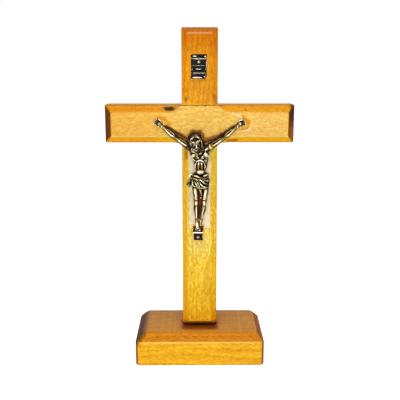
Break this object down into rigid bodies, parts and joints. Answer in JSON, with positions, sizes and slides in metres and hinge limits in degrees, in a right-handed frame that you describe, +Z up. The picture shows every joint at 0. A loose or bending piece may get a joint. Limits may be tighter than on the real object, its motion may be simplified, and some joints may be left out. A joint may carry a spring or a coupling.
{
  "type": "crucifix",
  "caption": "Standing wooden crucifix: half-lapped bevelled cross on a block base, with a cast bronze-toned figure and a small title plate pinned to its front.",
  "frame": {"origin": "middle of the base block's underside", "axes": "+Z up along the upright, +X along the crossbar to the viewer's right, -Y out of the front, towards the viewer"},
  "size_m": [0.122, 0.049, 0.22],
  "materials": {
    "base_wood": "golden varnish over straight-grained wood, satin gloss",
    "upright_wood": "amber varnish over straight-grained wood, satin gloss",
    "crossbar_wood": "pale honey varnish over straight-grained wood, satin gloss",
    "screw_steel": "zinc-plated steel",
    "antique_bronze": "antiqued bronze, dark in the hollows and rubbed bright on the high points",
    "pin_metal": "aged brass pins with bright domes",
    "blackened_metal": "blackened casting rubbed bright on its rims and raised lines"
  },
  "bodies": {
    "root": {"base_block": "base_wood", "upright": "upright_wood", "crossbar": "crossbar_wood", "base_screw": "screw_steel", "corpus": "antique_bronze", "hand_pin_right": "pin_metal", "hand_pin_left": "pin_metal", "tab_pin": "pin_metal", "title_plate": "blackened_metal", "title_pin": "pin_metal"}
  },
  "joints": []
}
